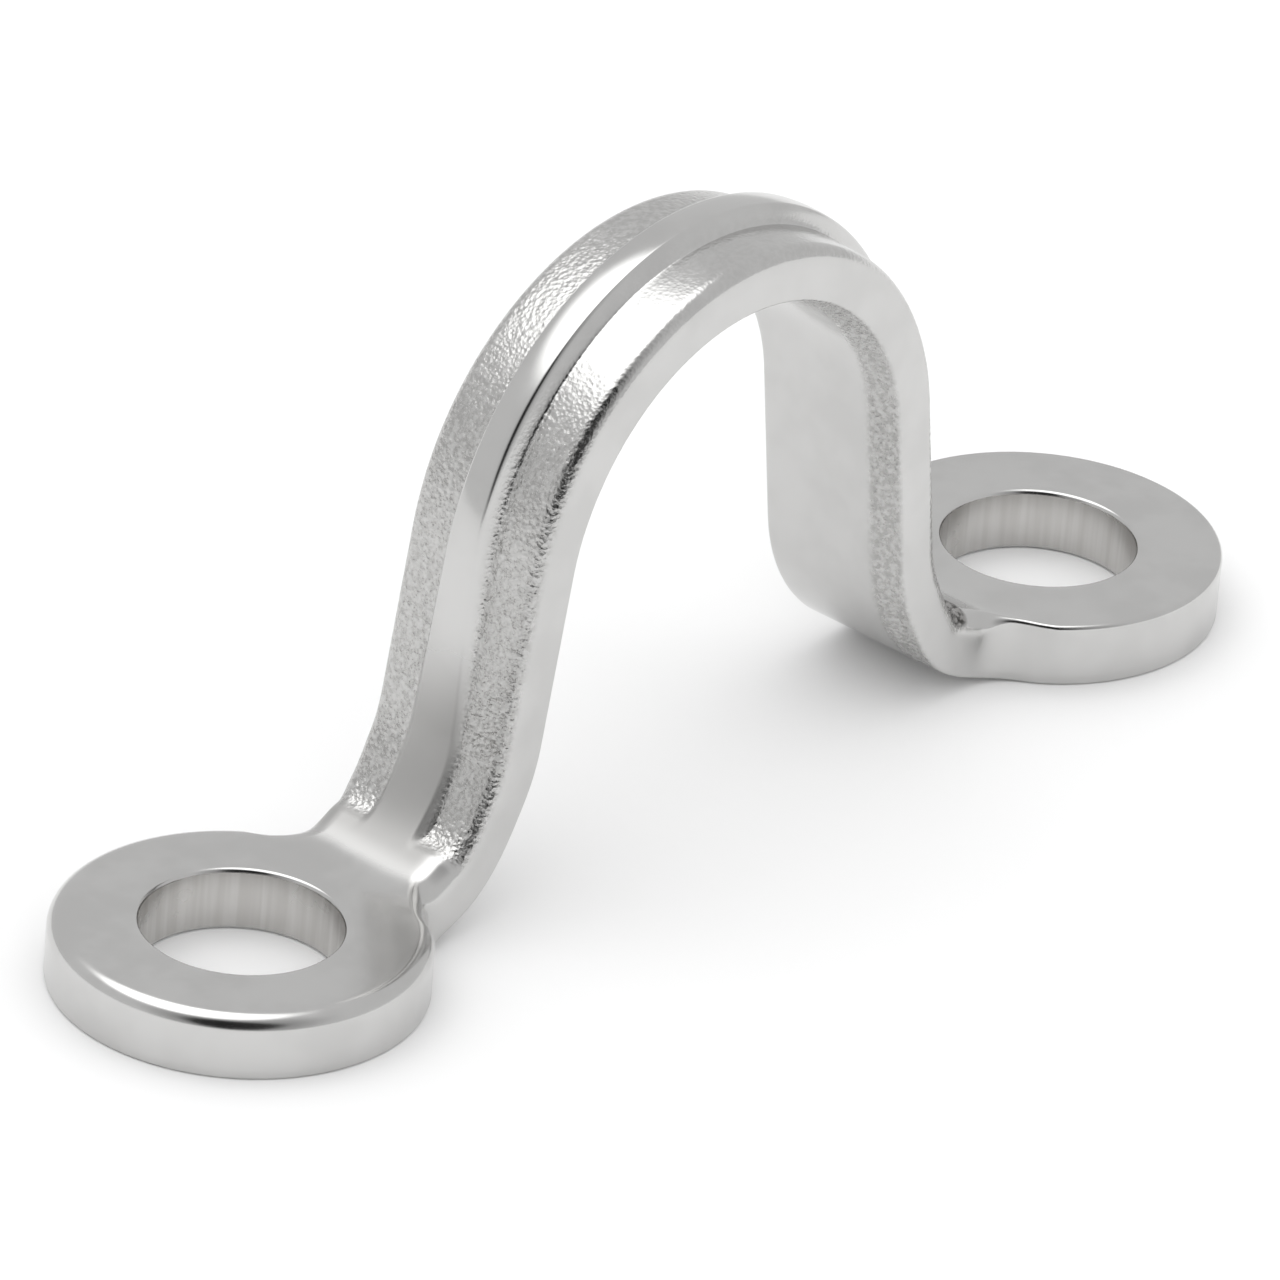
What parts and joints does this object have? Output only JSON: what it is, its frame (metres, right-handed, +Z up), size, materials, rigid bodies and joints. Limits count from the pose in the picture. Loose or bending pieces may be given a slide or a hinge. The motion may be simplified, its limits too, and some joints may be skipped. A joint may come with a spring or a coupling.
{
  "type": "eye strap fairlead",
  "caption": "Bent stainless strap with a flat round screw eye at each end and a ribbed arch between them that guides or holds a rope.",
  "frame": {"origin": "on the deck plane under the middle of the arch, midway between the two screw holes", "axes": "+X from one screw eye to the other, +Y along the way of the rope through the arch, +Z up off the deck"},
  "size_m": [0.05, 0.012, 0.0204],
  "materials": {
    "stainless": "bright polished, with fine grain on the sunk shoulders and inner bevel"
  },
  "bodies": {
    "root": {"strap": "stainless"}
  },
  "joints": []
}
